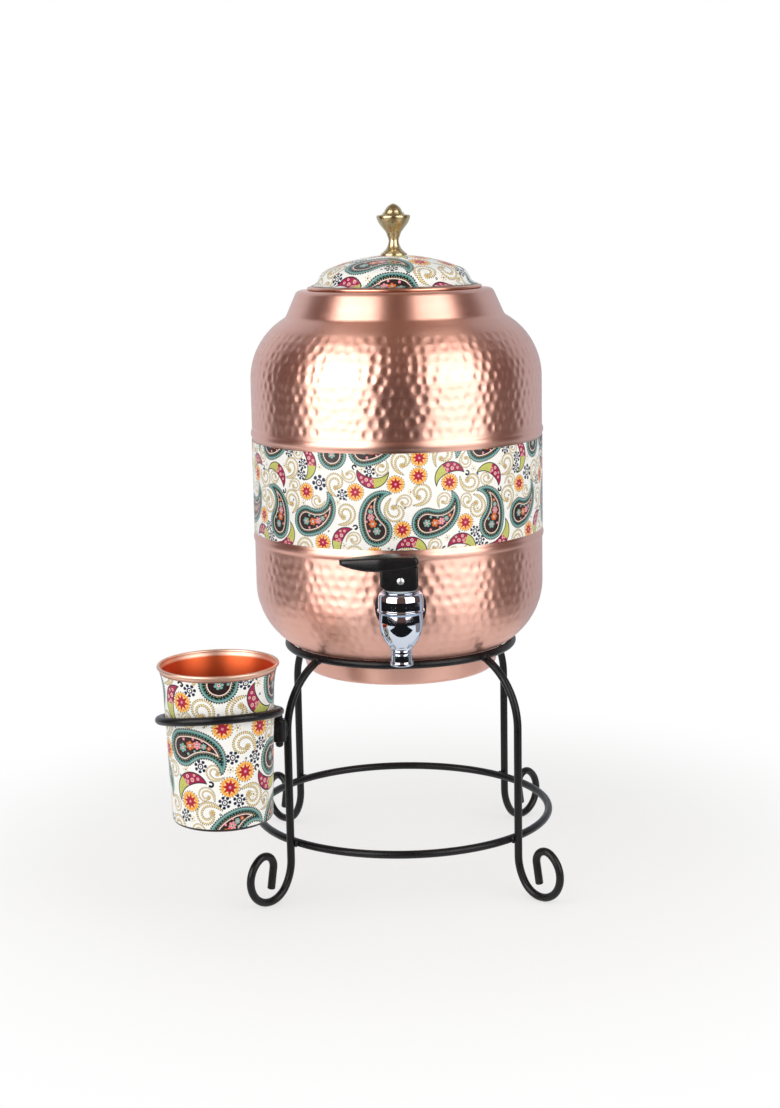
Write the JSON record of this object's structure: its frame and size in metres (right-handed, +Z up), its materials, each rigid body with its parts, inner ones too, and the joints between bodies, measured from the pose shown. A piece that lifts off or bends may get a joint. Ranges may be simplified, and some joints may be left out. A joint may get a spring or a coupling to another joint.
{
  "type": "copper water dispenser",
  "caption": "Copper water pot with a domed lid and lever tap on a scrolled wire stand, which holds a tumbler in a swinging wire ring beside it.",
  "frame": {"origin": "on the floor under the pot's upright axis, in the middle of the stand", "axes": "+Z up along the pot's axis, -Y towards the tap, +X to the right when facing the tap"},
  "size_m": [0.2477, 0.2472, 0.4312],
  "materials": {
    "stand_paint": "satin black powder coat on steel wire",
    "tumbler_copper": "bright polished copper",
    "pot_copper": "satin copper, hammered above and below the printed band",
    "printed_enamel": "glossy white enamel coat printed with paisleys and flowers",
    "tap_chrome": "mirror chrome plate",
    "black_rubber": "matte black rubber",
    "black_plastic": "gloss black moulded plastic",
    "white_plastic": "natural white moulded plastic",
    "silicone": "translucent white silicone",
    "pin_steel": "bright steel",
    "finial_brass": "polished brass"
  },
  "bodies": {
    "stand": {"upper_ring": "stand_paint", "lower_ring": "stand_paint", "leg_front_left": "stand_paint", "leg_front_right": "stand_paint", "leg_back_left": "stand_paint", "leg_back_right": "stand_paint", "holder_sleeve": "stand_paint"},
    "holder": {"holder_wire": "stand_paint"},
    "tumbler": {"tumbler_cup": "tumbler_copper", "tumbler_print": "printed_enamel"},
    "pot": {"lower_shell": "pot_copper", "upper_shell": "pot_copper", "band_print": "printed_enamel", "tap_body": "tap_chrome", "tap_bonnet": "tap_chrome", "outer_gasket": "black_rubber", "inner_gasket": "black_rubber", "shank_nut": "black_plastic"},
    "lid": {"lid_shell": "pot_copper", "lid_skirt": "pot_copper", "lid_print": "printed_enamel", "finial": "finial_brass", "finial_washer": "pin_steel", "finial_screw": "pin_steel"},
    "swivel": {"slip_washer": "white_plastic"},
    "stem": {"valve_stem": "white_plastic", "seat_cup": "silicone"},
    "lever": {"lever": "black_plastic", "lever_pin": "pin_steel"}
  },
  "joints": [
    {"name": "pot_lift", "type": "slide", "parent": "stand", "child": "pot", "axis": [0, 0, 1], "range_m": [0, 0.1]},
    {"name": "lid_lift", "type": "slide", "parent": "pot", "child": "lid", "axis": [0, 0, 1], "range_m": [0, 0.08]},
    {"name": "holder_swing", "type": "hinge", "parent": "stand", "child": "holder", "pos_m": [-0.07666, -0.07666, 0.118], "axis": [0, 0, 1], "range_deg": [-60, 45]},
    {"name": "tumbler_lift", "type": "slide", "parent": "holder", "child": "tumbler", "axis": [0, 0, 1], "range_m": [0, 0.12]},
    {"name": "lever_swivel", "type": "hinge", "parent": "pot", "child": "swivel", "pos_m": [0, -0.115, 0.2056], "axis": [0, 0, 1], "range_deg": [0, 180]},
    {"name": "stem_lift", "type": "slide", "parent": "swivel", "child": "stem", "axis": [0, 0, 1], "range_m": [0, 0.0041]},
    {"name": "lever_tilt", "type": "hinge", "parent": "stem", "child": "lever", "pos_m": [0, -0.115, 0.21244], "axis": [0, -1, 0], "range_deg": [0, 40], "stiffness_Nm_per_rad": 0.25}
  ],
  "couplings": [
    {"joint": "stem_lift", "follows": "lever_tilt", "m_per_rad": 0.00573}
  ]
}
